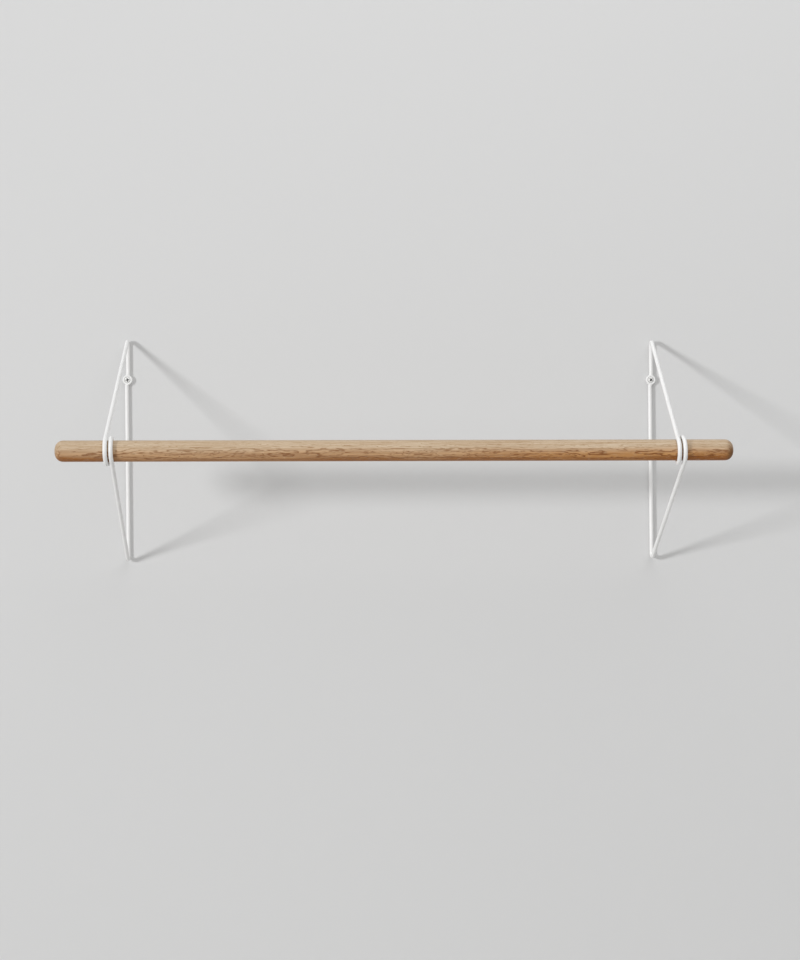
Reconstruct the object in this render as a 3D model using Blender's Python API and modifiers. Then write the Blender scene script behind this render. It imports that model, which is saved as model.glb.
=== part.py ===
"""Wall coat rail: an oak rod that runs through the coils of two bent-wire brackets.

Each bracket is one length of steel wire, bent into an upright triangle with a coil
at its point. The wire's two ends are butt-welded to the necks of a round eye, and one
screw through the eye holds the bracket to the wall.

Metres, +Z up. The wall is the plane Y = 0 and the rail stands out towards -Y.
The origin is on the wall, at the rod's height, midway between the brackets.
"""

import math

import bmesh
import bpy
from mathutils import Matrix, Vector

# Rod
ROD_DIAMETER = 0.025
ROD_OVERHANG = 0.063  # past the middle plane of each bracket
ROD_END_FLAT = 0.006  # across the flat that the rounding leaves at each end
ROD_FROM_WALL = 0.182  # from the wall to the rod's axis

# Brackets
BRACKET_SPACING = 0.674  # between the middle planes of the two brackets
BRACKET_HEIGHT = 0.282  # from tip to tip, over the wire
WIRE_DIAMETER = 0.005
CORNER_RADIUS = 0.0050  # of the wire's centreline, where it turns away from the wall
# How far the wire stands to the right of the eye's middle, at its corners and at its ends
UPPER_CORNER_ASIDE = 0.0004
LOWER_CORNER_ASIDE = 0.0008
UPPER_END_ASIDE = 0.0006
LOWER_END_ASIDE = -0.0010

# Coil round the rod
COIL_CLEARANCE = 0.0003  # between the rod and the inside of the coil
COIL_GAP = 0.0018  # between the two passes across the front
COIL_EASE = 0.65  # 0 is a plain helix; nearer 1, more of the step lies behind the rod

# Eye that takes the screw
EYE_BELOW_TIP = 0.051  # from the bracket's upper tip to the middle of the eye
EYE_DIAMETER = 0.0125
EYE_THICKNESS = WIRE_DIAMETER  # the eye lies flush with the wire, front and back
EYE_EDGE_ROUND = 0.0023  # makes the rim, and the necks, nearly as round as the wire
EYE_EDGE_FLAT = 0.0002  # least width that the rounding leaves flat on either side of a neck's middle
SHANK_CLEARANCE = 0.0004  # between the hole and the screw's shank
SINK_DIAMETER = 0.0088  # of the countersink, at the eye's front
SINK_SLOPE = math.radians(45)  # of the countersink and of the underside of the screw's head
NECK_FILLET = 0.0020  # radius of the hollow between the rim and a neck
NECK_STUB = 0.0004  # straight end of a neck, past its fillets
WELD_GAP = 0.0003  # between a neck and the end of the wire

# Screw
SHANK_DIAMETER = 0.0038
SCREW_LENGTH = 0.040  # from the rim of the head to the point
POINT_LENGTH = 0.006
HEAD_DIAMETER = 0.0072
HEAD_CROWN = 0.0013  # height of the crown over the rim
HEAD_RIM = 0.0003  # height of the upright rim between the crown and the underside
HEAD_SEAT_GAP = 0.0003  # between the head's underside and the countersink, square to both
RECESS_SPAN = 0.0058
RECESS_WIDTH = 0.0013
RECESS_DEPTH = 0.0016
RECESS_TAPER = 0.5  # share of the span and width at the crown that is left at the floor
# Each screw stops where it is tight, so the two recesses lie at different angles
LEFT_RECESS_TURN = math.radians(10)
RIGHT_RECESS_TURN = math.radians(45)

# Facets
ROD_SIDES = 48
HOLE_SIDES = 32
SCREW_SIDES = 32
ARC_STEP = math.radians(12)
COIL_STEP = math.radians(7.5)
CROWN_STEP = math.radians(8)
WIRE_BEVEL_RESOLUTION = 4
EYE_BEVEL_RESOLUTION = 3
SMOOTH_UNDER = math.radians(40)
MERGE_DISTANCE = 1e-6

OUTWARDS = Matrix.Rotation(math.radians(90), 4, "X")  # turns local +Z away from the wall
ALONG_RAIL = Matrix.Rotation(math.radians(90), 4, "Y")  # turns local +Z along the rail


def new_collection(name):
    collection = bpy.data.collections.new(name)
    bpy.context.scene.collection.children.link(collection)
    return collection


def finish(name, colour, roughness, metallic):
    """A Principled material of one colour."""
    material = bpy.data.materials.new(name)
    material.use_nodes = True
    shader = material.node_tree.nodes["Principled BSDF"]
    shader.inputs["Base Color"].default_value = (*colour, 1.0)
    shader.inputs["Roughness"].default_value = roughness
    shader.inputs["Metallic"].default_value = metallic
    return material


def add_object(name, data, collection, material=None, parent=None, matrix=Matrix()):
    obj = bpy.data.objects.new(name, data)
    collection.objects.link(obj)
    if material:
        data.materials.append(material)
    obj.parent = parent
    obj.matrix_local = matrix
    return obj


def cut(obj, cutter):
    """Takes the cutter's shape out of the object, and leaves the cutter as a wire guide."""
    cutter.hide_render = True
    cutter.display_type = "WIRE"
    modifier = obj.modifiers.new(cutter.name, "BOOLEAN")
    modifier.operation = "DIFFERENCE"
    modifier.solver = "EXACT"
    modifier.object = cutter


def arc(centre, radius, start, end, step=ARC_STEP):
    """Points from one angle to another, both included, round a centre in a plane."""
    count = max(2, math.ceil(abs(end - start) / step))
    angles = [start + (end - start) * i / count for i in range(count + 1)]
    return [
        (centre[0] + radius * math.cos(angle), centre[1] + radius * math.sin(angle))
        for angle in angles
    ]


def turned(name, profile, sides, collection, **placing):
    """A solid of revolution: (radius, height) points, down the outer side, turned about local Z."""
    mesh = bpy.data.meshes.new(name)
    shape = bmesh.new()
    points = [shape.verts.new((radius, 0.0, height)) for radius, height in profile]
    for first, second in zip(points, points[1:]):
        shape.edges.new((first, second))
    shape.to_mesh(mesh)
    shape.free()
    obj = add_object(name, mesh, collection, **placing)
    screw = obj.modifiers.new("turn", "SCREW")
    screw.axis = "Z"
    screw.steps = sides
    screw.render_steps = sides
    screw.use_merge_vertices = True
    screw.merge_threshold = MERGE_DISTANCE
    screw.use_smooth_shade = True
    return obj


def rod_profile():
    half = BRACKET_SPACING / 2 + ROD_OVERHANG
    face = ROD_END_FLAT / 2
    end_round = ROD_DIAMETER / 2 - face
    upper = arc((face, half - end_round), end_round, math.pi / 2, 0)
    lower = arc((face, end_round - half), end_round, 0, -math.pi / 2)
    return [(0.0, half), *upper, *lower, (0.0, -half)]


def leg_slope():
    """How far below the horizontal the upper leg runs: it is tangent to both its bend and the coil."""
    across = ROD_FROM_WALL - corner_centre()[0]
    down = corner_centre()[1]
    lean = math.atan2(across, down)
    return math.acos((coil_radius() - CORNER_RADIUS) / math.hypot(across, down)) - lean


def corner_centre():
    """Centre of the upper bend, as distance from the wall and height above the rod."""
    wire_radius = WIRE_DIAMETER / 2
    return (
        wire_radius + CORNER_RADIUS,
        BRACKET_HEIGHT / 2 - wire_radius - CORNER_RADIUS,
    )


def coil_radius():
    return ROD_DIAMETER / 2 + COIL_CLEARANCE + WIRE_DIAMETER / 2


def eye_height():
    return BRACKET_HEIGHT / 2 - EYE_BELOW_TIP


def edge_round():
    """Rounding of the eye's edges: at most what the necks' width allows."""
    return min(EYE_EDGE_ROUND, WIRE_DIAMETER / 2 - EYE_EDGE_FLAT)


def fillet_height(centre_aside):
    """How far from the eye's middle a fillet's centre is, along the neck: it is tangent to the rim."""
    return math.sqrt((EYE_DIAMETER / 2 + NECK_FILLET) ** 2 - centre_aside**2)


def neck_fillets(aside):
    """Centres of the fillets to the right and to the left of a neck, for a neck that points up."""
    reach = WIRE_DIAMETER / 2 + NECK_FILLET
    return [(x, fillet_height(x)) for x in (aside + reach, aside - reach)]


def neck_length(aside):
    return max(height for _, height in neck_fillets(aside)) + NECK_STUB


def coil_aside(turns):
    """Where the coil is along the rail, with turns counted from its first pass across the front."""
    eased = turns - COIL_EASE * math.sin(2 * math.pi * turns) / (2 * math.pi)
    return (WIRE_DIAMETER + COIL_GAP) * (eased - 0.5)


def coil_points():
    """From the upper leg, down the front, once round the rod, and down the front again."""
    leave = math.pi / 2 - leg_slope()
    radius = coil_radius()
    sweep = 2 * math.pi + 2 * leave
    count = math.ceil(sweep / COIL_STEP)
    points = []
    for i in range(count + 1):
        angle = leave - sweep * i / count
        out = ROD_FROM_WALL + radius * math.cos(angle)
        aside = coil_aside(-angle / (2 * math.pi))
        points.append(Vector((aside, -out, radius * math.sin(angle))))
    return points


def wire_points():
    """The wire's centreline, from its upper end at the eye to its lower end there."""
    leg = WIRE_DIAMETER / 2
    upper_end = eye_height() + neck_length(UPPER_END_ASIDE) + WELD_GAP
    lower_end = eye_height() - neck_length(LOWER_END_ASIDE) - WELD_GAP
    out, up = corner_centre()
    leave = math.pi / 2 - leg_slope()
    upper_bend = arc((out, up), CORNER_RADIUS, math.pi, leave)
    lower_bend = arc((out, -up), CORNER_RADIUS, -leave, -math.pi)
    return [
        Vector((UPPER_END_ASIDE, -leg, upper_end)),
        *[Vector((UPPER_CORNER_ASIDE, -y, z)) for y, z in upper_bend],
        *coil_points(),
        *[Vector((LOWER_CORNER_ASIDE, -y, z)) for y, z in lower_bend],
        Vector((LOWER_END_ASIDE, -leg, lower_end)),
    ]


def coil_gap():
    """Least gap between one pass of the coil and the next, measured on its points."""
    points = coil_points()
    half_turn = round(math.pi / COIL_STEP)
    apart = [
        (first - second).length
        for i, first in enumerate(points)
        for second in points[i + half_turn :]
    ]
    return min(apart) - WIRE_DIAMETER


def curve_mesh(curve):
    """A curve as one closed mesh, with its caps welded to its sides."""
    guide = bpy.data.objects.new(curve.name, curve)
    bpy.context.scene.collection.objects.link(guide)
    graph = bpy.context.evaluated_depsgraph_get()
    mesh = bpy.data.meshes.new_from_object(guide.evaluated_get(graph))
    bpy.data.objects.remove(guide)
    bpy.data.curves.remove(curve)
    shape = bmesh.new()
    shape.from_mesh(mesh)
    bmesh.ops.remove_doubles(shape, verts=shape.verts, dist=MERGE_DISTANCE)
    bmesh.ops.recalc_face_normals(shape, faces=shape.faces)
    shape.to_mesh(mesh)
    shape.free()
    mesh.shade_smooth()
    mesh.set_sharp_from_angle(angle=SMOOTH_UNDER)
    return mesh


def add_spline(curve, points, cyclic):
    spline = curve.splines.new("POLY")
    spline.points.add(len(points) - 1)
    for target, point in zip(spline.points, points):
        target.co = (*point, 1.0)
    spline.use_cyclic_u = cyclic


def wire_mesh(name):
    """The bent wire: a curve with a round section."""
    curve = bpy.data.curves.new(name, "CURVE")
    curve.dimensions = "3D"
    curve.bevel_depth = WIRE_DIAMETER / 2
    curve.bevel_resolution = WIRE_BEVEL_RESOLUTION
    curve.use_fill_caps = True
    add_spline(curve, wire_points(), cyclic=False)
    return curve_mesh(curve)


def neck_outline(aside):
    """Right side, end and left side of a neck that points up, inside the rounded edge."""
    right, left = neck_fillets(aside)
    radius = NECK_FILLET + edge_round()
    half = WIRE_DIAMETER / 2 - edge_round()
    end = neck_length(aside) + edge_round()  # the rounded end is trimmed off
    to_rim_right = math.atan2(-right[1], -right[0]) + 2 * math.pi
    to_rim_left = math.atan2(-left[1], -left[0])
    return [
        *arc(right, radius, to_rim_right, math.pi),
        (aside + half, end),
        (aside - half, end),
        *arc(left, radius, 0.0, to_rim_left),
    ]


def eye_outline():
    """Anticlockwise round the eye's flat face: the upper neck, the rim, the lower neck, the rim."""
    upper = neck_outline(UPPER_END_ASIDE)
    lower = [(x, -y) for x, y in reversed(neck_outline(LOWER_END_ASIDE))]
    angle = [math.atan2(y, x) for x, y in (upper[-1], lower[0], lower[-1], upper[0])]
    radius = EYE_DIAMETER / 2 - edge_round()
    left_rim = arc((0.0, 0.0), radius, angle[0], angle[1] + 2 * math.pi)
    right_rim = arc((0.0, 0.0), radius, angle[2], angle[3])
    return [*upper, *left_rim[1:-1], *lower, *right_rim[1:-1]]


def eye_mesh(name):
    """The eye before its hole is drilled and its necks are trimmed: an outline with rounded edges."""
    curve = bpy.data.curves.new(name, "CURVE")
    curve.dimensions = "2D"
    curve.fill_mode = "BOTH"
    curve.extrude = EYE_THICKNESS / 2 - edge_round()
    curve.bevel_depth = edge_round()
    curve.bevel_resolution = EYE_BEVEL_RESOLUTION
    add_spline(curve, [(x, y, 0.0) for x, y in eye_outline()], cyclic=True)
    return curve_mesh(curve)


def drill_profile():
    """The hole and its countersink, as heights from the middle of the eye's thickness."""
    hole = SHANK_DIAMETER / 2 + SHANK_CLEARANCE
    sink = SINK_DIAMETER / 2
    front = EYE_THICKNESS / 2
    past = EYE_THICKNESS  # how far the drill runs past either face
    return [
        (0.0, front + past),
        (sink + past / math.tan(SINK_SLOPE), front + past),
        (hole, front - (sink - hole) * math.tan(SINK_SLOPE)),
        (hole, -front - past),
        (0.0, -front - past),
    ]


def trim_mesh(name):
    mesh = bpy.data.meshes.new(name)
    shape = bmesh.new()
    bmesh.ops.create_cube(shape, size=2 * EYE_THICKNESS)
    shape.to_mesh(mesh)
    shape.free()
    return mesh


def rim_height():
    """How far from the wall the head's rim ends and its underside starts to slope, over the countersink."""
    sunk = (SINK_DIAMETER - HEAD_DIAMETER) / 2 * math.tan(SINK_SLOPE)
    return EYE_THICKNESS - sunk + HEAD_SEAT_GAP / math.cos(SINK_SLOPE)


def crown_height():
    return rim_height() + HEAD_RIM + HEAD_CROWN


def screw_profile():
    """A crowned head with a sloping underside, a plain shank and a point, as heights from the wall."""
    rim = HEAD_DIAMETER / 2
    shank = SHANK_DIAMETER / 2
    crown_radius = (rim**2 + HEAD_CROWN**2) / (2 * HEAD_CROWN)
    centre = (0.0, crown_height() - crown_radius)
    edge = math.acos(rim / crown_radius)
    under_head = rim_height() - (rim - shank) * math.tan(SINK_SLOPE)
    point = rim_height() + HEAD_RIM - SCREW_LENGTH
    return [
        *arc(centre, crown_radius, math.pi / 2, edge, CROWN_STEP),
        (rim, rim_height()),
        (shank, under_head),
        (shank, point + POINT_LENGTH),
        (0.0, point),
    ]


def recess_mesh(name):
    """One bar of the cross recess, which narrows downwards and has its middle at the crown."""
    mesh = bpy.data.meshes.new(name)
    shape = bmesh.new()
    bmesh.ops.create_cube(shape, size=1.0)
    for vert in shape.verts:
        share = 2 - RECESS_TAPER if vert.co.z > 0 else RECESS_TAPER
        vert.co.x *= RECESS_SPAN * share
        vert.co.y *= RECESS_WIDTH * share
        vert.co.z *= 2 * RECESS_DEPTH
    shape.to_mesh(mesh)
    shape.free()
    return mesh


def build_rod(parts, oak):
    place = Matrix.Translation((0.0, -ROD_FROM_WALL, 0.0)) @ ALONG_RAIL
    turned("oak_rod", rod_profile(), ROD_SIDES, parts, material=oak, matrix=place)


def build_bracket(side, aside, recess_turn, parts, cutters, white, screw_finish):
    """One bracket: its wire, the eye between the wire's ends, and the screw through the eye."""
    middle = bpy.data.objects.new(f"{side}_bracket", None)
    parts.objects.link(middle)
    middle.location.x = aside

    name = f"{side}_bracket_wire"
    add_object(name, wire_mesh(name), parts, material=white, parent=middle)

    on_wall = Matrix.Translation((0.0, 0.0, eye_height())) @ OUTWARDS
    half_way = on_wall @ Matrix.Translation((0.0, 0.0, EYE_THICKNESS / 2))
    name = f"{side}_screw_eye"
    eye = add_object(name, eye_mesh(name), parts, white, middle, half_way)
    name = f"{side}_eye_drill"
    cut(eye, turned(name, drill_profile(), HOLE_SIDES, cutters, parent=middle, matrix=half_way))
    for neck, end_aside, up in (("upper", UPPER_END_ASIDE, 1), ("lower", LOWER_END_ASIDE, -1)):
        beyond = up * (neck_length(end_aside) + EYE_THICKNESS)
        place = half_way @ Matrix.Translation((end_aside, beyond, 0.0))
        name = f"{side}_{neck}_neck_trim"
        cut(eye, add_object(name, trim_mesh(name), cutters, parent=middle, matrix=place))

    screw = turned(
        f"{side}_wall_screw",
        screw_profile(),
        SCREW_SIDES,
        parts,
        material=screw_finish,
        parent=middle,
        matrix=on_wall,
    )
    crown = on_wall @ Matrix.Translation((0.0, 0.0, crown_height()))
    for bar in range(2):
        place = crown @ Matrix.Rotation(recess_turn + bar * math.pi / 2, 4, "Z")
        name = f"{side}_recess_{bar + 1}"
        cut(screw, add_object(name, recess_mesh(name), cutters, parent=middle, matrix=place))


for leftover in list(bpy.data.objects):
    bpy.data.objects.remove(leftover)

rail = new_collection("coat_rail")
tools = new_collection("cutters")

build_rod(rail, finish("oiled_oak", (0.50, 0.31, 0.15), 0.5, 0.0))
for bracket_side, direction, turn in (
    ("left", -1, LEFT_RECESS_TURN),
    ("right", 1, RIGHT_RECESS_TURN),
):
    build_bracket(
        bracket_side,
        direction * BRACKET_SPACING / 2,
        turn,
        rail,
        tools,
        finish(f"{bracket_side}_white_powder_coat", (0.82, 0.82, 0.80), 0.45, 0.0),
        finish(f"{bracket_side}_white_screw", (0.75, 0.75, 0.73), 0.4, 0.0),
    )

print(f"least gap between the coil's passes: {coil_gap() * 1000:.2f} mm")
print("ok")
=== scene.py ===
"""Looks of the wall coat rail: an oak rod held in the coils of two white bent-wire brackets.

Metres, +Z up. The wall is the plane Y = 0 and the room lies towards -Y. Each section models one
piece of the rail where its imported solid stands, in the order in which the rail is put together.
"""

import math

import bpy
from mathutils import Matrix, Vector


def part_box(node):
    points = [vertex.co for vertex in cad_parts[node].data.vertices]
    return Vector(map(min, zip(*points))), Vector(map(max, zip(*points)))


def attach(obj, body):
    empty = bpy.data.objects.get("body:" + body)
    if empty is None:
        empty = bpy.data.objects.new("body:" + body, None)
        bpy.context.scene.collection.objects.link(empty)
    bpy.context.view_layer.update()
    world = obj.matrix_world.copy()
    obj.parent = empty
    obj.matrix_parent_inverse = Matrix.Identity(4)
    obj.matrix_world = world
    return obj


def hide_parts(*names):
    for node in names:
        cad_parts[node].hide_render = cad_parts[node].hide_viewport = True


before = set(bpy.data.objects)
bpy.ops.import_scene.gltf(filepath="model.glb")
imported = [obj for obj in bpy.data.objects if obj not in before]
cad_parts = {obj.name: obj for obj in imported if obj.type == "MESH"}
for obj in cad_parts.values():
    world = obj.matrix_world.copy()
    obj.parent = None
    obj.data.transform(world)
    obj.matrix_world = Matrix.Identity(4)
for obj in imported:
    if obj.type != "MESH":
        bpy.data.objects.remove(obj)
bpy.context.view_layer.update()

# Oak rod: a dowel turned from one straight-grained oak board, rounded over at both ends with a
# router, sanded and oiled. The brackets' coils are pushed on to it and hold it by friction alone.
rod_low, rod_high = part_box("oak_rod")
rod_middle = (rod_low + rod_high) / 2
rod_radius = (rod_high.z - rod_low.z) / 2
rod_reach = (rod_high.x - rod_low.x) / 2
ROD_END_FLAT = 0.006  # across the flat that the rounding leaves
ROD_SIDES = 96
ROD_ROUND_STEPS = 14
ROD_CREASE = math.radians(40)  # edges that turn by more than this stay crisp
# The pale upper side and the warmer, darker lower front are partly the oak's own colours, partly
# painted light and sheen from above and painted shade below.
OAK_PALE_AND_LIT = (0.632, 0.507, 0.366)
OAK_PALE_LINE = (0.435, 0.292, 0.168)
OAK_WARM_AND_SHADED = (0.61, 0.312, 0.112)
OAK_WARM_LINE = (0.255, 0.086, 0.020)
# The underside's painted shade
OAK_UNDERSIDE_SHADE = (0.33, 0.108, 0.010)
OAK_PORE = (0.22, 0.080, 0.022)
OAK_END_SOAK_AND_SHADE = (0.20, 0.090, 0.030)

# Growth rings: their heart lies behind and above the rod, so its lower front shows the flat-sawn
# figure. Each year's ring starts with a porous line, whose limits are shares of the ring.
HEART_DISTANCE = 0.055
HEART_ANGLE = math.radians(22)
RING_WIDTH = 0.0012
RING_CHANGE = 0.7  # how quickly the width changes from year to year
LINE_FULL = 0.06
LINE_GONE = 0.42

# Patterns of the grain, in blotches to a metre along X, Y and Z. The first three bend the rings.
WANDER = (7.0, 30.0, 30.0)
WANDER_SWING = 0.0050
WAVES = (46.0, 240.0, 240.0)
WAVE_SWING = 0.0038
JAGS = (60.0, 1500.0, 1500.0)
JAG_SWING = 0.0010
STREAKS = (11.0, 520.0, 520.0)
FIBRES = (70.0, 2600.0, 2600.0)
PORES = (190.0, 3600.0, 3600.0)
RAYS = (170.0, 2600.0, 120.0)  # along the rod, round the heart and away from it

# The noise over which each pattern comes up, and how much of its colour it then gives the wood
STREAK_RANGE = (0.38, 0.64)
STREAK_TINT = 0.48
FIBRE_RANGE = (0.30, 0.70)
FIBRE_TINT = 0.15
LINE_TINT = 0.92
PORE_RANGE = (0.46, 0.56)
PORE_TINT = 0.40
PORE_TINT_WARM = 0.55  # added on the warm side
RAY_RANGE = (0.60, 0.68)
RAY_TINT = 0.3

# The lower front is warmer and darker: partly the flat-sawn figure's own colour, partly painted
# shade.
# Its underside is darker still, most near the ends, as painted shade. Ranges are distances from the
# rod's axis towards that side, and stretches are places along the rail.
WARM_SIDE = Vector((0.0, -0.45, -0.89))
WARM_RANGE = (0.0025, 0.0130)
WARM_STRAY = 0.005  # of its border, with the grain's wander
WARM_STRETCH = (0.03, 0.22)
WARM_LEFT_SHARE = 0.66
# The underside's painted shade, which reaches higher near both ends
UNDER_RANGE = (0.0132, 0.0158)
UNDER_LEFT_STRETCH = (-0.36, -0.30)
UNDER_LEFT_RISE = 0.0014
UNDER_RIGHT_STRETCH = (0.28, 0.37)
UNDER_RIGHT_RISE = 0.0015

# The end grain drinks more oil, so the ends are darker. The right end and its lower front are
# painted darker still, as painted shade away from the window.
END_SOAK_START = rod_reach - rod_radius
END_SOAK_FULL = rod_reach - rod_radius / 4
END_LEFT_SHARE = 0.2
END_RANGE = (-0.0025, 0.0095)
END_TINTS = (0.25, 0.95)

OAK_GLOSS = 0.19
OAK_ROUGHNESS = (0.40, 0.52)
OAK_ROUGHNESS_RANGE = (0.25, 0.75)
PORE_ROUGHNESS = 0.2  # added in the pores
FIBRE_RELIEF = 0.3  # as a share of the pores' depth
OAK_RELIEF = 0.0002
OAK_RELIEF_STRENGTH = 0.3

# Sockets of a colour mix
MIX_SHARE = 0
MIX_FIRST = 6
MIX_SECOND = 7
MIX_RESULT = 2


def start_fresh():
    """Leaves edit mode and selects nothing, so that the next operator acts on its own piece only."""
    if bpy.context.mode != "OBJECT":
        bpy.ops.object.mode_set(mode="OBJECT")
    bpy.ops.object.select_all(action="DESELECT")


def take_up(piece):
    """Selects this piece alone."""
    start_fresh()
    piece.select_set(True)
    bpy.context.view_layer.objects.active = piece


def settle(piece):
    """Puts the piece's place, turn and size into its mesh."""
    take_up(piece)
    bpy.ops.object.transform_apply(location=True, rotation=True, scale=True)


def select_edges(piece, wanted):
    """Goes to edit mode with only the edges selected whose two ends pass the test."""
    bpy.ops.object.mode_set(mode="EDIT")
    bpy.ops.mesh.select_mode(type="EDGE")
    bpy.ops.mesh.select_all(action="DESELECT")
    bpy.ops.object.mode_set(mode="OBJECT")
    points = piece.data.vertices
    for edge in piece.data.edges:
        first, second = edge.vertices
        edge.select = wanted(points[first].co, points[second].co)
    bpy.ops.object.mode_set(mode="EDIT")


def close_up(piece, crease):
    """Turns the faces outwards and shades the round stretches smooth."""
    bpy.ops.object.mode_set(mode="EDIT")
    bpy.ops.mesh.select_all(action="SELECT")
    bpy.ops.mesh.normals_make_consistent(inside=False)
    take_up(piece)
    bpy.ops.object.shade_smooth_by_angle(angle=crease)


def add_node(tree, kind, inputs, **settings):
    """A shader node with its own fields set, and its sockets set to a value or linked."""
    node = tree.nodes.new("ShaderNode" + kind)
    for field, value in settings.items():
        setattr(node, field, value)
    for socket, value in inputs.items():
        if isinstance(value, bpy.types.NodeSocket):
            tree.links.new(value, node.inputs[socket])
        else:
            node.inputs[socket].default_value = value
    return node


def sums(tree, operation, *values):
    """One step of arithmetic on sockets or numbers."""
    node = add_node(tree, "Math", dict(enumerate(values)), operation=operation)
    return node.outputs["Value"]


def noise(tree, place, stretch, detail=2.0, roughness=0.5):
    """The outputs of a noise whose blotches are 1 / stretch metres long along X, Y and Z."""
    drawn_out = add_node(tree, "Mapping", {"Vector": place, "Scale": stretch})
    inputs = {
        "Vector": drawn_out.outputs["Vector"],
        "Scale": 1.0,
        "Detail": detail,
        "Roughness": roughness,
    }
    return add_node(tree, "TexNoise", inputs).outputs


def between(tree, value, low, high, to_low=0.0, to_high=1.0):
    """The value read against a scale from low to high, held at the scale's ends."""
    inputs = {
        "Value": value,
        "From Min": low,
        "From Max": high,
        "To Min": to_low,
        "To Max": to_high,
    }
    return add_node(tree, "MapRange", inputs, interpolation_type="SMOOTHSTEP").outputs["Result"]


def blend_colour(tree, share, first, second):
    """A mix of two colours, each three numbers or a socket."""
    inputs = {MIX_SHARE: share}
    for socket, colour in ((MIX_FIRST, first), (MIX_SECOND, second)):
        inputs[socket] = colour if isinstance(colour, bpy.types.NodeSocket) else (*colour, 1.0)
    return add_node(tree, "Mix", inputs, data_type="RGBA").outputs[MIX_RESULT]


def new_finish(name):
    """A new material, its node tree, and each point's place on the rail."""
    material = bpy.data.materials.new(name)
    material.use_nodes = True
    tree = material.node_tree
    return material, tree, add_node(tree, "TexCoord", {}).outputs["Object"]


def dress(tree, colour, roughness, height, relief, strength):
    """Links a surface's colour, roughness and fine relief to its shader, which it gives back."""
    shader = tree.nodes["Principled BSDF"]
    tree.links.new(colour, shader.inputs["Base Color"])
    tree.links.new(roughness, shader.inputs["Roughness"])
    bump = add_node(tree, "Bump", {"Height": height, "Distance": relief, "Strength": strength})
    tree.links.new(bump.outputs["Normal"], shader.inputs["Normal"])
    return shader


def seen_from(tree, place, point):
    """Each place as it lies from a point."""
    inputs = {"Vector": place, "Location": point}
    return add_node(tree, "Mapping", inputs, vector_type="TEXTURE").outputs["Vector"]


def round_heart(tree, place, wander):
    """Distance and angle from the log's heart, through grain that wanders, waves and jags."""
    towards_heart = Vector((0.0, math.cos(HEART_ANGLE), math.sin(HEART_ANGLE)))
    bent = seen_from(tree, place, rod_middle + HEART_DISTANCE * towards_heart)
    waves = noise(tree, place, WAVES)
    jags = noise(tree, place, JAGS, detail=3.0, roughness=0.6)
    for swing, reach in ((wander, WANDER_SWING), (waves, WAVE_SWING), (jags, JAG_SWING)):
        inputs = {0: swing["Color"], 1: (0.0, reach, reach), 2: bent}
        bent = add_node(tree, "VectorMath", inputs, operation="MULTIPLY_ADD").outputs["Vector"]
    across = add_node(tree, "SeparateXYZ", {"Vector": bent}).outputs
    flat = add_node(tree, "CombineXYZ", {"Y": across["Y"], "Z": across["Z"]}).outputs["Vector"]
    radius = add_node(tree, "VectorMath", {0: flat}, operation="LENGTH").outputs["Value"]
    return radius, sums(tree, "ARCTAN2", across["Z"], across["Y"])


def porous_line(tree, radius):
    """The sharp line of pores that each year starts with, and that fades into dense late wood."""
    years = sums(tree, "DIVIDE", radius, RING_WIDTH)
    inputs = {"W": years, "Scale": RING_CHANGE}
    uneven = add_node(tree, "TexNoise", inputs, noise_dimensions="1D").outputs["Fac"]
    season = sums(tree, "FRACT", sums(tree, "ADD", years, uneven))
    fading = between(tree, season, LINE_FULL, LINE_GONE, 1.0, 0.0)
    return sums(tree, "MULTIPLY", fading, between(tree, season, 0.0, LINE_FULL))


def warm_side(tree, place, length, wander):
    """How far a point lies towards the lower front, and the shares there of its warmer,
    painted-shade colour and of the underside's painted shade.
    """
    inputs = {0: seen_from(tree, place, rod_middle), 1: WARM_SIDE}
    lean = add_node(tree, "VectorMath", inputs, operation="DOT_PRODUCT").outputs["Value"]
    lean = sums(tree, "MULTIPLY_ADD", wander["Fac"], WARM_STRAY, lean)
    along = between(tree, length, *WARM_STRETCH, to_low=WARM_LEFT_SHARE)
    warm_and_shaded = sums(tree, "MULTIPLY", between(tree, lean, *WARM_RANGE), along)
    left_rise = between(tree, length, *UNDER_LEFT_STRETCH, UNDER_LEFT_RISE, 0.0)
    right_rise = between(tree, length, *UNDER_RIGHT_STRETCH, to_high=UNDER_RIGHT_RISE)
    underside_shade = sums(tree, "ADD", sums(tree, "ADD", lean, right_rise), left_rise)
    return lean, warm_and_shaded, between(tree, underside_shade, *UNDER_RANGE)


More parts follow.
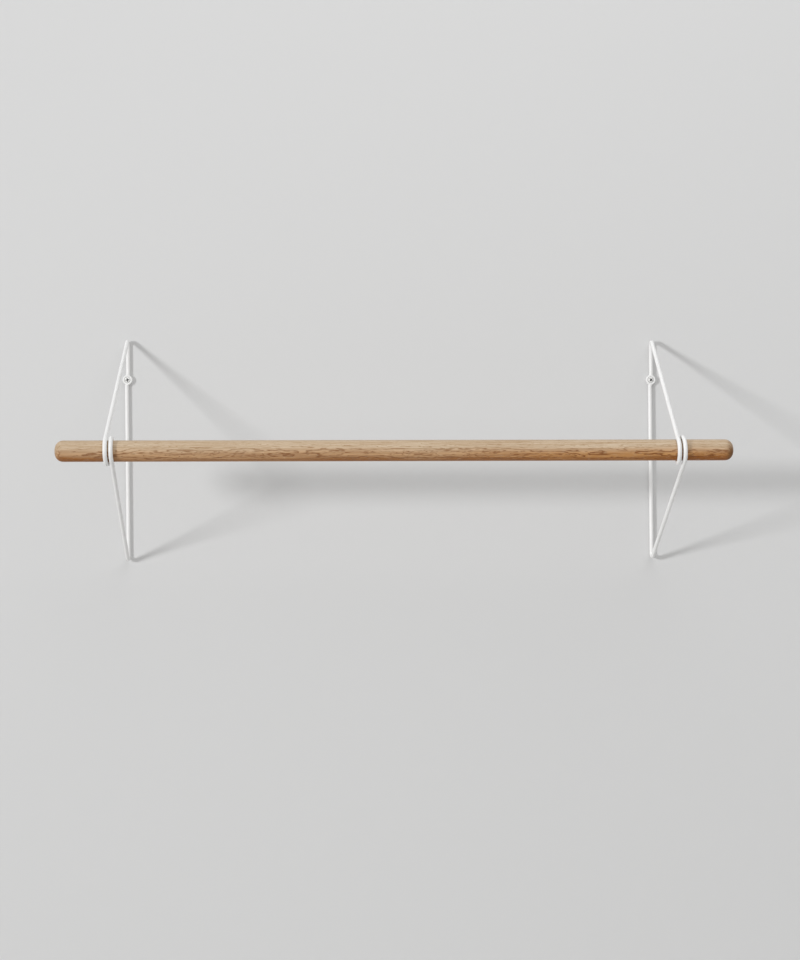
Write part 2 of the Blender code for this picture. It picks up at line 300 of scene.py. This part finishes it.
def oiled_oak():
    """Oak as a solid: growth rings round a heart, pores along the grain, rays across the rings."""
    material, tree, place = new_finish("oiled_oak")
    length = add_node(tree, "SeparateXYZ", {"Vector": place}).outputs["X"]
    wander = noise(tree, place, WANDER)
    radius, angle = round_heart(tree, place, wander)
    line = porous_line(tree, radius)
    streak = noise(tree, place, STREAKS, roughness=0.55)["Fac"]
    fibre = noise(tree, place, FIBRES)["Fac"]
    dash = noise(tree, place, PORES, detail=1.0)["Fac"]
    pore = sums(tree, "MULTIPLY", between(tree, dash, *PORE_RANGE), line)
    spread = sums(tree, "MULTIPLY", angle, HEART_DISTANCE)
    inputs = {"X": length, "Y": spread, "Z": radius}
    ray_place = add_node(tree, "CombineXYZ", inputs).outputs["Vector"]
    ray = noise(tree, ray_place, RAYS, detail=1.0)["Fac"]
    lean, warm_and_shaded, underside_shade = warm_side(tree, place, length, wander)

    # Painted light and shade: a paler upper side, and a warmer and darker lower front
    ground = blend_colour(tree, warm_and_shaded, OAK_PALE_AND_LIT, OAK_WARM_AND_SHADED)
    # The underside painted darker still, as painted shade
    ground = blend_colour(tree, underside_shade, ground, OAK_UNDERSIDE_SHADE)
    dark = blend_colour(tree, warm_and_shaded, OAK_PALE_LINE, OAK_WARM_LINE)
    streak_share = between(tree, streak, *STREAK_RANGE, to_high=STREAK_TINT)
    fibre_share = between(tree, fibre, *FIBRE_RANGE, to_high=FIBRE_TINT)
    dark_share = sums(tree, "ADD", streak_share, fibre_share)
    dark_share = sums(tree, "MULTIPLY_ADD", line, LINE_TINT, dark_share)
    colour = blend_colour(tree, dark_share, ground, dark)
    ray_share = between(tree, ray, *RAY_RANGE, to_high=RAY_TINT)
    colour = blend_colour(tree, ray_share, colour, OAK_PALE_AND_LIT)
    pore_share = sums(tree, "MULTIPLY_ADD", warm_and_shaded, PORE_TINT_WARM, PORE_TINT)
    pore_share = sums(tree, "MULTIPLY", pore_share, pore)
    colour = blend_colour(tree, pore_share, colour, OAK_PORE)
    # The ends: darker end grain, with painted shade on the right end and its lower front
    end_soak_and_shade = between(tree, sums(tree, "ABSOLUTE", length), END_SOAK_START, END_SOAK_FULL)
    along = between(tree, length, -rod_reach, rod_reach, to_low=END_LEFT_SHARE)
    end_soak_and_shade = sums(tree, "MULTIPLY", end_soak_and_shade, along)
    end_soak_and_shade = sums(tree, "MULTIPLY", end_soak_and_shade, between(tree, lean, *END_RANGE, *END_TINTS))
    colour = blend_colour(tree, end_soak_and_shade, colour, OAK_END_SOAK_AND_SHADE)

    rough = between(tree, fibre, *OAK_ROUGHNESS_RANGE, *OAK_ROUGHNESS)
    rough = sums(tree, "MULTIPLY_ADD", pore, PORE_ROUGHNESS, rough)
    height = sums(tree, "SUBTRACT", sums(tree, "MULTIPLY", fibre, FIBRE_RELIEF), pore)
    shader = dress(tree, colour, rough, height, OAK_RELIEF, OAK_RELIEF_STRENGTH)
    shader.inputs["Specular IOR Level"].default_value = OAK_GLOSS
    return material


start_fresh()
bpy.ops.mesh.primitive_cylinder_add(
    vertices=ROD_SIDES,
    radius=rod_radius,
    depth=2 * rod_reach,
    location=rod_middle,
    rotation=(0.0, math.radians(90), 0.0),
)
rod = bpy.context.active_object
rod.name = "turned_oak_rod"
settle(rod)
select_edges(rod, lambda first, second: abs(first.x - second.x) < rod_radius)
bpy.ops.mesh.bevel(
    offset=rod_radius - ROD_END_FLAT / 2,
    segments=ROD_ROUND_STEPS,
    profile=0.5,
    affect="EDGES",
    clamp_overlap=False,
)
close_up(rod, ROD_CREASE)
rod.data.materials.append(oiled_oak())
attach(rod, "rod")
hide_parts("oak_rod")

# Bracket wires: each is one length of round steel wire, bent over pegs into an upright triangle
# with one full coil at its point, then powder-coated white. Both are bent on the same jig, so they
# are alike.
screw_low, screw_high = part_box("left_wall_screw")
right_screw_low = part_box("right_wall_screw")[0]
eye_low, eye_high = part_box("left_screw_eye")
bracket_x = (screw_low.x + screw_high.x) / 2
bracket_spacing = right_screw_low.x - screw_low.x
eye_z = (screw_low.z + screw_high.z) / 2
wire_radius = (eye_high.y - eye_low.y) / 2
bracket_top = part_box("left_bracket_wire")[1].z
CORNER_RADIUS = 0.0050  # of the wire's middle, where it turns away from the wall
COIL_CLEARANCE = 0.0003
COIL_GAP = 0.0018  # between the two passes across the front
COIL_EASE = 0.65  # 0 is a plain helix; nearer 1, more of the step lies behind the rod
# How far the wire stands to the right of the eye's middle
UPPER_END_ASIDE = 0.0006
UPPER_CORNER_ASIDE = 0.0004
LOWER_CORNER_ASIDE = 0.0008
LOWER_END_ASIDE = -0.0010
WIRE_SIDES = 32
WIRE_CREASE = math.radians(40)
CORNER_STEPS = 24
COIL_STEPS = 96
FULL_TURN = math.radians(360)

COAT_WHITE = (0.880, 0.881, 0.878)
COAT_SHADE = (0.850, 0.851, 0.848)
# Painted shade: the countersinks round the screws' heads are painted grey
COAT_SINK_SHADE = (0.60, 0.60, 0.595)
SINK_SHADE_EDGE = 0.0005  # over which the countersink's painted shade fades out
# Blotches to a metre, and the noise over which they come up
CLOUDS = (60.0, 60.0, 60.0)
CLOUD_RANGE = (0.35, 0.70)
PEEL = (1100.0, 1100.0, 1100.0)
GRIT = (5200.0, 5200.0, 5200.0)
GRIT_RANGE = (0.3, 0.7)
GRIT_RELIEF = 0.15  # as a share of the orange peel's
COAT_ROUGHNESS = (0.40, 0.52)
COAT_RELIEF = 0.00008
COAT_RELIEF_STRENGTH = 0.5

corner_out = wire_radius + CORNER_RADIUS
corner_up = bracket_top - corner_out
coil_radius = rod_radius + COIL_CLEARANCE + wire_radius
leg_run = -rod_middle.y - corner_out
leg_slope = math.acos((coil_radius - CORNER_RADIUS) / math.hypot(leg_run, corner_up))
leg_slope -= math.atan2(leg_run, corner_up)
corner_turn = math.radians(90) + leg_slope
coil_start = math.radians(90) - leg_slope
coil_turn = FULL_TURN + 2 * coil_start


def near_screw(tree, place, within):
    """Full within a distance of either screw's axis, and nothing outside it."""
    across = add_node(tree, "SeparateXYZ", {"Vector": place}).outputs
    # The left bracket stands at a negative X, so adding that takes both screws to 0
    aside = sums(tree, "ADD", sums(tree, "ABSOLUTE", across["X"]), bracket_x)
    rise = sums(tree, "SUBTRACT", across["Z"], eye_z)
    from_screw = add_node(tree, "CombineXYZ", {"X": aside, "Y": rise}).outputs["Vector"]
    distance = add_node(tree, "VectorMath", {0: from_screw}, operation="LENGTH").outputs["Value"]
    return between(tree, distance, within - SINK_SHADE_EDGE, within, 1.0, 0.0)


def powder_coat(name, shade_within=None):
    """Satin white powder coat with a fine orange peel. It may carry painted shade near the screws'
    axes.
    """
    material, tree, place = new_finish(name)
    cloud = noise(tree, place, CLOUDS)["Fac"]
    peel = noise(tree, place, PEEL, detail=1.0)["Fac"]
    grit = noise(tree, place, GRIT, detail=1.0)["Fac"]
    colour = blend_colour(tree, between(tree, cloud, *CLOUD_RANGE), COAT_WHITE, COAT_SHADE)
    # Painted shade in the countersinks
    if shade_within:
        colour = blend_colour(tree, near_screw(tree, place, shade_within), colour, COAT_SINK_SHADE)
    rough = between(tree, grit, *GRIT_RANGE, *COAT_ROUGHNESS)
    height = sums(tree, "MULTIPLY_ADD", grit, GRIT_RELIEF, peel)
    dress(tree, colour, rough, height, COAT_RELIEF, COAT_RELIEF_STRENGTH)
    return material


def run_on(along):
    """Lets the selected end run straight on."""
    bpy.ops.mesh.extrude_region_move(TRANSFORM_OT_translate={"value": along})


def bend_wire(angle, steps, middle):
    """Bends the wire's open end round a peg that lies along the rail."""
    bpy.ops.mesh.spin(steps=steps, angle=angle, center=middle, axis=(-1.0, 0.0, 0.0))


def coil_aside(angle):
    """Where the coil is along the rail, at an angle from its first pass across the front."""
    turns = (angle - COIL_EASE * math.sin(angle)) / FULL_TURN
    return (2 * wire_radius + COIL_GAP) * (turns - 0.5)


def copy_to_right(piece, name):
    """The right bracket's copy of a piece of the left one, with its own mesh."""
    take_up(piece)
    bpy.ops.object.duplicate(linked=False)
    twin = bpy.context.active_object
    twin.name = name
    twin.location.x = bracket_spacing
    settle(twin)
    return twin


start_fresh()
bpy.ops.mesh.primitive_circle_add(
    vertices=WIRE_SIDES,
    radius=wire_radius,
    fill_type="NOTHING",
    location=(bracket_x + UPPER_END_ASIDE, -wire_radius, eye_high.z),
)
left_wire = bpy.context.active_object
left_wire.name = "left_bent_wire"
settle(left_wire)
bpy.ops.object.mode_set(mode="EDIT")
run_on((UPPER_CORNER_ASIDE - UPPER_END_ASIDE, 0.0, corner_up - eye_high.z))
bend_wire(corner_turn, CORNER_STEPS, (bracket_x, -corner_out, corner_up))
# The front leg lies on the line that touches both the corner's peg and the coil.
leg_across = (coil_radius - CORNER_RADIUS) * math.cos(coil_start) + leg_run
leg_down = corner_up - (coil_radius - CORNER_RADIUS) * math.sin(coil_start)
run_on((coil_aside(-coil_start) - UPPER_CORNER_ASIDE, -leg_across, -leg_down))
for step in range(COIL_STEPS):
    bend_wire(coil_turn / COIL_STEPS, 1, (bracket_x, rod_middle.y, rod_middle.z))
    before = coil_aside(coil_turn * step / COIL_STEPS - coil_start)
    after = coil_aside(coil_turn * (step + 1) / COIL_STEPS - coil_start)
    bpy.ops.transform.translate(value=(after - before, 0.0, 0.0))
run_on((LOWER_CORNER_ASIDE - coil_aside(coil_turn - coil_start), leg_across, -leg_down))
bend_wire(corner_turn, CORNER_STEPS, (bracket_x, -corner_out, -corner_up))
run_on((LOWER_END_ASIDE - LOWER_CORNER_ASIDE, 0.0, eye_low.z + corner_up))
bpy.ops.mesh.select_all(action="DESELECT")
bpy.ops.mesh.select_non_manifold()
bpy.ops.mesh.fill_holes(sides=0)
close_up(left_wire, WIRE_CREASE)
left_wire.data.materials.append(powder_coat("white_powder_coat"))
right_wire = copy_to_right(left_wire, "right_bent_wire")
for piece, node in ((left_wire, "left_bracket_wire"), (right_wire, "right_bracket_wire")):
    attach(piece, "brackets")
    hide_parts(node)

# Screw eyes: each is a small steel eye, forged with two short necks and countersunk from the front.
# The wire's ends are butt-welded to the necks and ground smooth before coating.
eye_radius = (eye_high.x - eye_low.x) / 2
eye_middle = Vector((bracket_x, -wire_radius, eye_z))
EYE_HOLE_RADIUS = 0.0023
SINK_RADIUS = 0.0043  # of the countersink, at the eye's front
EYE_CREST_RADIUS = 0.0049  # where the rim starts to round off
EYE_CAGE_SIDES = 16
EYE_CAGE_SWELL = 1.042  # the cage is this much wider than the eye that it rounds off to
EYE_ROUND_OFF = 3  # rounds of subdivision
EYE_CREASE = math.radians(180)  # so the eye has no crisp edge
FACING = 0.9  # a face looks along Y where its normal reaches this far that way
NECK_ROOT = 0.95  # a neck grows from the rim beyond this share of the eye's radius
NECK_SWELL = 1.035  # the neck is this much thicker than the wire, where they meet
NECK_CAGE_SWELL = 1.2  # a cage of six corners rounds off to a circle smaller by this much
NECK_CORNER_TURN = math.radians(60)  # from corner to corner
NECK_STRAIGHT = 0.0009  # the last of the neck, as round as the wire
WELD_LAP = 0.0016  # from the neck's end to where the ground weld dies into the wire
WELD_TAPER = 0.90


def select_faces(piece, wanted):
    """Goes to edit mode with only the faces selected whose middle and normal pass the test."""
    bpy.ops.object.mode_set(mode="EDIT")
    bpy.ops.mesh.select_mode(type="FACE")
    bpy.ops.mesh.select_all(action="DESELECT")
    bpy.ops.object.mode_set(mode="OBJECT")
    for face in piece.data.polygons:
        face.select = wanted(face.center, face.normal)
    bpy.ops.object.mode_set(mode="EDIT")


def round_neck(piece, neck_middle):
    """Moves the neck's end corners on to a hexagon, which rounds off to the wire's thickness."""
    bpy.ops.object.mode_set(mode="OBJECT")
    reach = wire_radius * NECK_SWELL * NECK_CAGE_SWELL
    for point in piece.data.vertices:
        if point.select:
            front = math.copysign(1.0, point.co.y - neck_middle.y)
            aside = point.co.x - neck_middle.x
            in_middle = abs(aside) < wire_radius / 2
            turn = 0.0 if in_middle else math.copysign(NECK_CORNER_TURN, aside)
            point.co.x = neck_middle.x + reach * math.sin(turn)
            point.co.y = neck_middle.y + front * reach * math.cos(turn)
    bpy.ops.object.mode_set(mode="EDIT")


def round_off(piece, levels):
    """Rounds a cage off by subdivision."""
    modifier = piece.modifiers.new("round_off", "SUBSURF")
    modifier.levels = levels
    modifier.render_levels = levels
    bpy.ops.object.modifier_apply(modifier=modifier.name)


cage_radius = eye_radius * EYE_CAGE_SWELL
cage_lean = math.cos(math.pi / EYE_CAGE_SIDES)
sink_step = SINK_RADIUS - EYE_HOLE_RADIUS
start_fresh()
bpy.ops.mesh.primitive_cylinder_add(
    vertices=EYE_CAGE_SIDES,
    radius=cage_radius,
    depth=2 * wire_radius,
    location=eye_middle,
    rotation=(math.radians(90), 0.0, 0.0),
)
left_eye = bpy.context.active_object
left_eye.name = "left_forged_eye"
settle(left_eye)
for facing, sink_depth in ((-1.0, sink_step), (1.0, 0.0)):
    select_faces(left_eye, lambda middle, normal: facing * normal.y > FACING)
    bpy.ops.mesh.inset(thickness=(cage_radius - EYE_CREST_RADIUS) * cage_lean)
    bpy.ops.mesh.inset(thickness=(EYE_CREST_RADIUS - SINK_RADIUS) * cage_lean)
    bpy.ops.mesh.inset(thickness=sink_step * cage_lean, depth=-sink_depth)
    bpy.ops.mesh.delete(type="FACE")
bpy.ops.mesh.select_mode(type="EDGE")
bpy.ops.mesh.select_all(action="DESELECT")
bpy.ops.mesh.select_non_manifold()
bpy.ops.mesh.bridge_edge_loops()
for neck_end, neck_aside, up in (
    (eye_high.z, UPPER_END_ASIDE, 1.0),
    (eye_low.z, LOWER_END_ASIDE, -1.0),
):
    neck_middle = Vector((bracket_x + neck_aside, -wire_radius, neck_end))
    neck_start = neck_middle - Vector((0.0, 0.0, up * NECK_STRAIGHT))
    select_faces(left_eye, lambda middle, normal: up * (middle.z - eye_z) > NECK_ROOT * eye_radius)
    run_on((neck_aside, 0.0, 0.0))
    bpy.ops.transform.resize(value=(1.0, 1.0, 0.0), center_override=neck_start)
    round_neck(left_eye, neck_middle)
    run_on(neck_middle - neck_start)
    run_on((0.0, 0.0, up * WELD_LAP))
    bpy.ops.transform.resize(value=(WELD_TAPER, WELD_TAPER, 1.0), center_override=neck_middle)
close_up(left_eye, EYE_CREASE)
round_off(left_eye, EYE_ROUND_OFF)
# The eyes' coat carries painted shade in its countersinks
left_eye.data.materials.append(powder_coat("countersunk_powder_coat", SINK_RADIUS))
right_eye = copy_to_right(left_eye, "right_forged_eye")
for piece, node in ((left_eye, "left_screw_eye"), (right_eye, "right_screw_eye")):
    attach(piece, "brackets")
    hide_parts(node)

# Wall screws: one zinc-plated wood screw through each eye, with a raised countersunk head that is
# lacquered white. Its cross recess is painted near-black steel, as painted shade. The thread bites
# into the wall.
head_radius = (screw_high.x - screw_low.x) / 2
screw_point = screw_high.y
SCREW_LENGTH = 0.040  # from the rim of its head to its point
HEAD_CROWN = 0.0013
HEAD_RIM = 0.0003
HEAD_SIDES = 64
HEAD_RINGS = 48
HEAD_CREASE = math.radians(35)
NECK_RADIUS = 0.0019  # of the plain stretch under the head
NECK_LENGTH = 0.010
ROOT_RADIUS = 0.00135
CREST_RADIUS = 0.0019
THREAD_PITCH = 0.0018
THREAD_WIDTH = 0.0010  # of the thread's foot
THREAD_FOOT = 0.9  # the foot lies inside the root, at this share of its radius
THREAD_LEAST = 0.15  # the thread's size at the point, where it has died away
THREAD_STEPS = 24
THREAD_CREASE = math.radians(25)
POINT_LENGTH = 0.006
RECESS_SPAN = 0.0058
RECESS_WIDTH = 0.0013
RECESS_DEPTH = 0.0016
RECESS_TAPER = 0.5
# Each screw stops where it is tight, so the recesses are turned differently
LEFT_RECESS_TURN = math.radians(-10)
RIGHT_RECESS_TURN = math.radians(-45)
LACQUER_WHITE = (0.85, 0.85, 0.84)
ZINC = (0.56, 0.57, 0.58)
# Painted shade: the cross recess is painted near-black
RECESS_SHADE_STEEL = (0.16, 0.16, 0.165)
# Blotches to a metre, the noise over which they change tone and gloss, and by how much
BLOTCHES = (1400.0, 1400.0, 1400.0)
BLOTCH_TONE_RANGE = (0.4, 0.7)
BLOTCH_GLOSS_RANGE = (0.3, 0.7)
BLOTCH_SMOOTHER = 0.06
BLOTCH_ROUGHER = 0.08
BLOTCH_RELIEF = 0.00004
BLOTCH_RELIEF_STRENGTH = 0.4

head_front = screw_point - SCREW_LENGTH - HEAD_CROWN
head_depth = HEAD_CROWN + HEAD_RIM + head_radius - NECK_RADIUS  # its underside slopes at 45 degrees
head_end = head_front + head_depth
crown_radius = (head_radius**2 + HEAD_CROWN**2) / (2 * HEAD_CROWN)
screw_axis = Vector((bracket_x, 0.0, eye_z))


def screw_finish(name, colour, metallic, roughness, mottle):
    """Lacquer or plating, with a little unevenness of tone and gloss."""
    material, tree, place = new_finish(name)
    blotch = noise(tree, place, BLOTCHES, detail=3.0, roughness=0.6)["Fac"]
    worn = tuple(share * (1 - mottle) for share in colour)
    tone = blend_colour(tree, between(tree, blotch, *BLOTCH_TONE_RANGE), colour, worn)
    limits = (roughness - BLOTCH_SMOOTHER, roughness + BLOTCH_ROUGHER)
    rough = between(tree, blotch, *BLOTCH_GLOSS_RANGE, *limits)
    shader = dress(tree, tone, rough, blotch, BLOTCH_RELIEF, BLOTCH_RELIEF_STRENGTH)
    shader.inputs["Metallic"].default_value = metallic
    return material


def run_taper(along, radius_before, radius_after):
    """Lets the screw run on towards its point, drawn wider or narrower on the way."""
    share = radius_after / radius_before
    run_on((0.0, along, 0.0))
    bpy.ops.transform.resize(value=(share, 1.0, share), center_override=screw_axis)


start_fresh()
bpy.ops.mesh.primitive_uv_sphere_add(
    segments=HEAD_SIDES,
    ring_count=HEAD_RINGS,
    radius=crown_radius,
    location=screw_axis + Vector((0.0, head_front + crown_radius, 0.0)),
    rotation=(math.radians(90), 0.0, 0.0),
)
left_screw = bpy.context.active_object
left_screw.name = "left_driven_screw"
settle(left_screw)
bpy.ops.object.mode_set(mode="EDIT")
bpy.ops.mesh.select_all(action="SELECT")
bpy.ops.mesh.bisect(
    plane_co=(0.0, head_front + HEAD_CROWN, 0.0),
    plane_no=(0.0, 1.0, 0.0),
    clear_outer=True,
    threshold=1e-6,
)
bpy.ops.mesh.select_all(action="DESELECT")
bpy.ops.mesh.select_mode(type="EDGE")
bpy.ops.mesh.select_non_manifold()
run_taper(HEAD_RIM, head_radius, head_radius)
run_taper(head_radius - NECK_RADIUS, head_radius, NECK_RADIUS)
run_taper(NECK_LENGTH, NECK_RADIUS, NECK_RADIUS)
run_taper(0.0, NECK_RADIUS, ROOT_RADIUS)
run_taper(screw_point - POINT_LENGTH - head_end - NECK_LENGTH, ROOT_RADIUS, ROOT_RADIUS)
run_taper(POINT_LENGTH, ROOT_RADIUS, ROOT_RADIUS)
bpy.ops.mesh.merge(type="CENTER")
close_up(left_screw, HEAD_CREASE)
lacquer = screw_finish("white_lacquer", LACQUER_WHITE, metallic=0.0, roughness=0.38, mottle=0.05)
plating = screw_finish("zinc_plating", ZINC, metallic=1.0, roughness=0.36, mottle=0.15)
left_screw.data.materials.append(lacquer)
left_screw.data.materials.append(plating)
for face in left_screw.data.polygons:
    face.material_index = 1 if face.center.y > head_front + HEAD_CROWN + HEAD_RIM else 0

# The recess is cut by two tapered bars, which leave near-black steel inside it as painted shade.
recess_shade = screw_finish("recess_shade_steel", RECESS_SHADE_STEEL, metallic=0.6, roughness=0.45, mottle=0.3)
for bar_turn in (0.0, math.radians(90)):
    start_fresh()
    bpy.ops.mesh.primitive_cube_add(
        size=1.0,
        location=screw_axis + Vector((0.0, head_front, 0.0)),
        rotation=(0.0, LEFT_RECESS_TURN + bar_turn, 0.0),
        scale=(RECESS_SPAN, 2 * RECESS_DEPTH, RECESS_WIDTH),
    )
    cutter = bpy.context.active_object
    settle(cutter)
    for facing, share in ((1.0, RECESS_TAPER), (-1.0, 2 - RECESS_TAPER)):
        select_faces(cutter, lambda middle, normal: facing * normal.y > FACING)
        bpy.ops.transform.resize(value=(share, 1.0, share), center_override=screw_axis)
    bpy.ops.object.mode_set(mode="OBJECT")
    cutter.data.materials.append(recess_shade)
    take_up(left_screw)
    recess = left_screw.modifiers.new("recess", "BOOLEAN")
    recess.operation = "DIFFERENCE"
    recess.solver = "EXACT"
    recess.material_mode = "TRANSFER"
    recess.object = cutter
    bpy.ops.object.modifier_apply(modifier=recess.name)
    bpy.data.objects.remove(cutter)

# The thread is a ridge wound round the root, and dies away towards the point.
thread_start = head_end + NECK_LENGTH
thread_turns = int((screw_point - thread_start) / THREAD_PITCH) - 1
thread_foot = ROOT_RADIUS * THREAD_FOOT
ridge = ((thread_foot, 0.0), (CREST_RADIUS, THREAD_WIDTH / 2), (thread_foot, THREAD_WIDTH))
start_fresh()
bpy.ops.mesh.primitive_circle_add(vertices=len(ridge), radius=THREAD_WIDTH, fill_type="NOTHING")
thread = bpy.context.active_object
for point, (out, along) in zip(thread.data.vertices, ridge):
    point.co = (out, 0.0, along)
winding = thread.modifiers.new("winding", "SCREW")
winding.axis = "Z"
winding.steps = THREAD_STEPS
winding.render_steps = THREAD_STEPS
winding.iterations = thread_turns
winding.screw_offset = THREAD_PITCH
winding.use_merge_vertices = False
bpy.ops.object.modifier_apply(modifier=winding.name)
bpy.ops.object.mode_set(mode="EDIT")
bpy.ops.mesh.select_mode(type="EDGE")
bpy.ops.mesh.select_all(action="DESELECT")
bpy.ops.mesh.select_non_manifold()
bpy.ops.mesh.fill_holes(sides=0)
bpy.ops.object.mode_set(mode="OBJECT")
for point in thread.data.vertices:
    to_point = screw_point - thread_start - point.co.z
    taper = min(1.0, max(THREAD_LEAST, to_point / POINT_LENGTH))
    point.co.x *= taper
    point.co.y *= taper
thread.rotation_euler = (math.radians(-90), 0.0, 0.0)
thread.location = screw_axis + Vector((0.0, thread_start, 0.0))
settle(thread)
close_up(thread, THREAD_CREASE)
thread.data.materials.append(plating)
take_up(left_screw)
thread.select_set(True)
bpy.ops.object.join()
right_screw = copy_to_right(left_screw, "right_driven_screw")
right_axis = screw_axis + Vector((bracket_spacing, 0.0, 0.0))
turn_on = Matrix.Rotation(RIGHT_RECESS_TURN - LEFT_RECESS_TURN, 4, "Y")
right_screw.matrix_world = Matrix.Translation(right_axis) @ turn_on @ Matrix.Translation(-right_axis)
settle(right_screw)
for piece, node in ((left_screw, "left_wall_screw"), (right_screw, "right_wall_screw")):
    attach(piece, "brackets")
    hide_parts(node)

# Studio: a plain pale wall that the rail hangs on, and a plain pale floor far below it. The wall is
# painted on its room side only, and lets a view from behind through. It throws no scattered light,
# which would leave the brackets' backs dark: the room's glow stands in for that.
WALL_BEHIND = 0.0003
WALL_HEIGHT = 5.0
FLOOR_BELOW = 1.35
STAGE_WIDTH = 14.0
WALL_PAINT = (0.675, 0.678, 0.681)
FLOOR_PAINT = (0.70, 0.695, 0.685)
PAINT_ROUGHNESS = 0.9
PAINT_GLOSS = 0.1


def stage_paint(name, colour, one_sided):
    """Matt paint, which may be clear from behind."""
    material = bpy.data.materials.new(name)
    material.use_nodes = True
    tree = material.node_tree
    shader = tree.nodes["Principled BSDF"]
    shader.inputs["Base Color"].default_value = (*colour, 1.0)
    shader.inputs["Roughness"].default_value = PAINT_ROUGHNESS
    shader.inputs["Specular IOR Level"].default_value = PAINT_GLOSS
    if one_sided:
        behind = add_node(tree, "NewGeometry", {}).outputs["Backfacing"]
        clear = add_node(tree, "BsdfTransparent", {}).outputs["BSDF"]
        inputs = {0: behind, 1: shader.outputs["BSDF"], 2: clear}
        shown = add_node(tree, "MixShader", inputs).outputs["Shader"]
        tree.links.new(shown, tree.nodes["Material Output"].inputs["Surface"])
    return material


start_fresh()
bpy.ops.mesh.primitive_plane_add(
    size=1.0,
    location=(0.0, WALL_BEHIND, WALL_HEIGHT / 2 - FLOOR_BELOW),
    rotation=(math.radians(90), 0.0, 0.0),
)
wall = bpy.context.active_object
wall.name = "studio_wall"
wall.scale = (STAGE_WIDTH, WALL_HEIGHT, 1.0)
wall.visible_diffuse = False
wall.data.materials.append(stage_paint("wall_paint", WALL_PAINT, one_sided=True))
start_fresh()
bpy.ops.mesh.primitive_plane_add(size=STAGE_WIDTH, location=(0.0, 0.0, -FLOOR_BELOW))
floor = bpy.context.active_object
floor.name = "studio_floor"
floor.data.materials.append(stage_paint("floor_paint", FLOOR_PAINT, one_sided=False))

# Light: one soft window to the left and a little above the rod, a broad soft light overhead, and an
# even glow from the rest of the room. The window is as bright at the far bracket as at the near one.
KEY_PLACE = Vector((-2.2, -1.9, 0.393))
KEY_AIM = Vector((0.0, 0.0, 0.0))
KEY_SIZE = 0.42
KEY_POWER = 41.0
TOP_PLACE = Vector((0.6, -1.2, 2.2))
TOP_AIM = Vector((0.0, rod_middle.y, 0.0))
TOP_SIZE = 2.2
TOP_POWER = 20.0
ROOM_GLOW = 0.54
ROOM_COLOUR = (1.0, 0.995, 0.985)


def add_light(name, place, aim, size, power):
    """A round soft light that faces its aim."""
    data = bpy.data.lights.new(name, "AREA")
    data.shape = "DISK"
    data.size = size
    data.energy = power
    light = bpy.data.objects.new(name, data)
    bpy.context.scene.collection.objects.link(light)
    light.location = place
    light.rotation_euler = (aim - place).to_track_quat("-Z", "Y").to_euler()
    return light


window = add_light("window", KEY_PLACE, KEY_AIM, KEY_SIZE, KEY_POWER)
window.data.use_nodes = True
window_tree = window.data.node_tree
even = add_node(window_tree, "LightFalloff", {"Strength": 1 / KEY_PLACE.length_squared})
window_tree.links.new(even.outputs["Constant"], window_tree.nodes["Emission"].inputs["Strength"])
add_light("overhead", TOP_PLACE, TOP_AIM, TOP_SIZE, TOP_POWER)
world = bpy.data.worlds.new("room")
world.use_nodes = True
glow = world.node_tree.nodes["Background"]
glow.inputs["Color"].default_value = (*ROOM_COLOUR, 1.0)
glow.inputs["Strength"].default_value = ROOM_GLOW
bpy.context.scene.world = world
bpy.context.scene.view_settings.view_transform = "Standard"

# Camera: at about the rod's height, two metres out and a little left of the middle, with its back
# kept upright and the lens shifted down.
CAMERA_PLACE = Vector((-0.0810, -2.1363, 0.0102))
CAMERA_YAW = math.radians(2.485)
CAMERA_ROLL = math.radians(-0.105)
CAMERA_SENSOR = 36.0
CAMERA_LENS = 62.174
CAMERA_SHIFT = -0.0397
camera_data = bpy.data.cameras.new("camera")
camera_data.sensor_width = CAMERA_SENSOR
camera_data.lens = CAMERA_LENS
camera_data.shift_y = CAMERA_SHIFT
camera = bpy.data.objects.new("camera", camera_data)
bpy.context.scene.collection.objects.link(camera)
camera.location = CAMERA_PLACE
camera.rotation_euler = (math.radians(90), -CAMERA_ROLL, -CAMERA_YAW)
bpy.context.scene.camera = camera
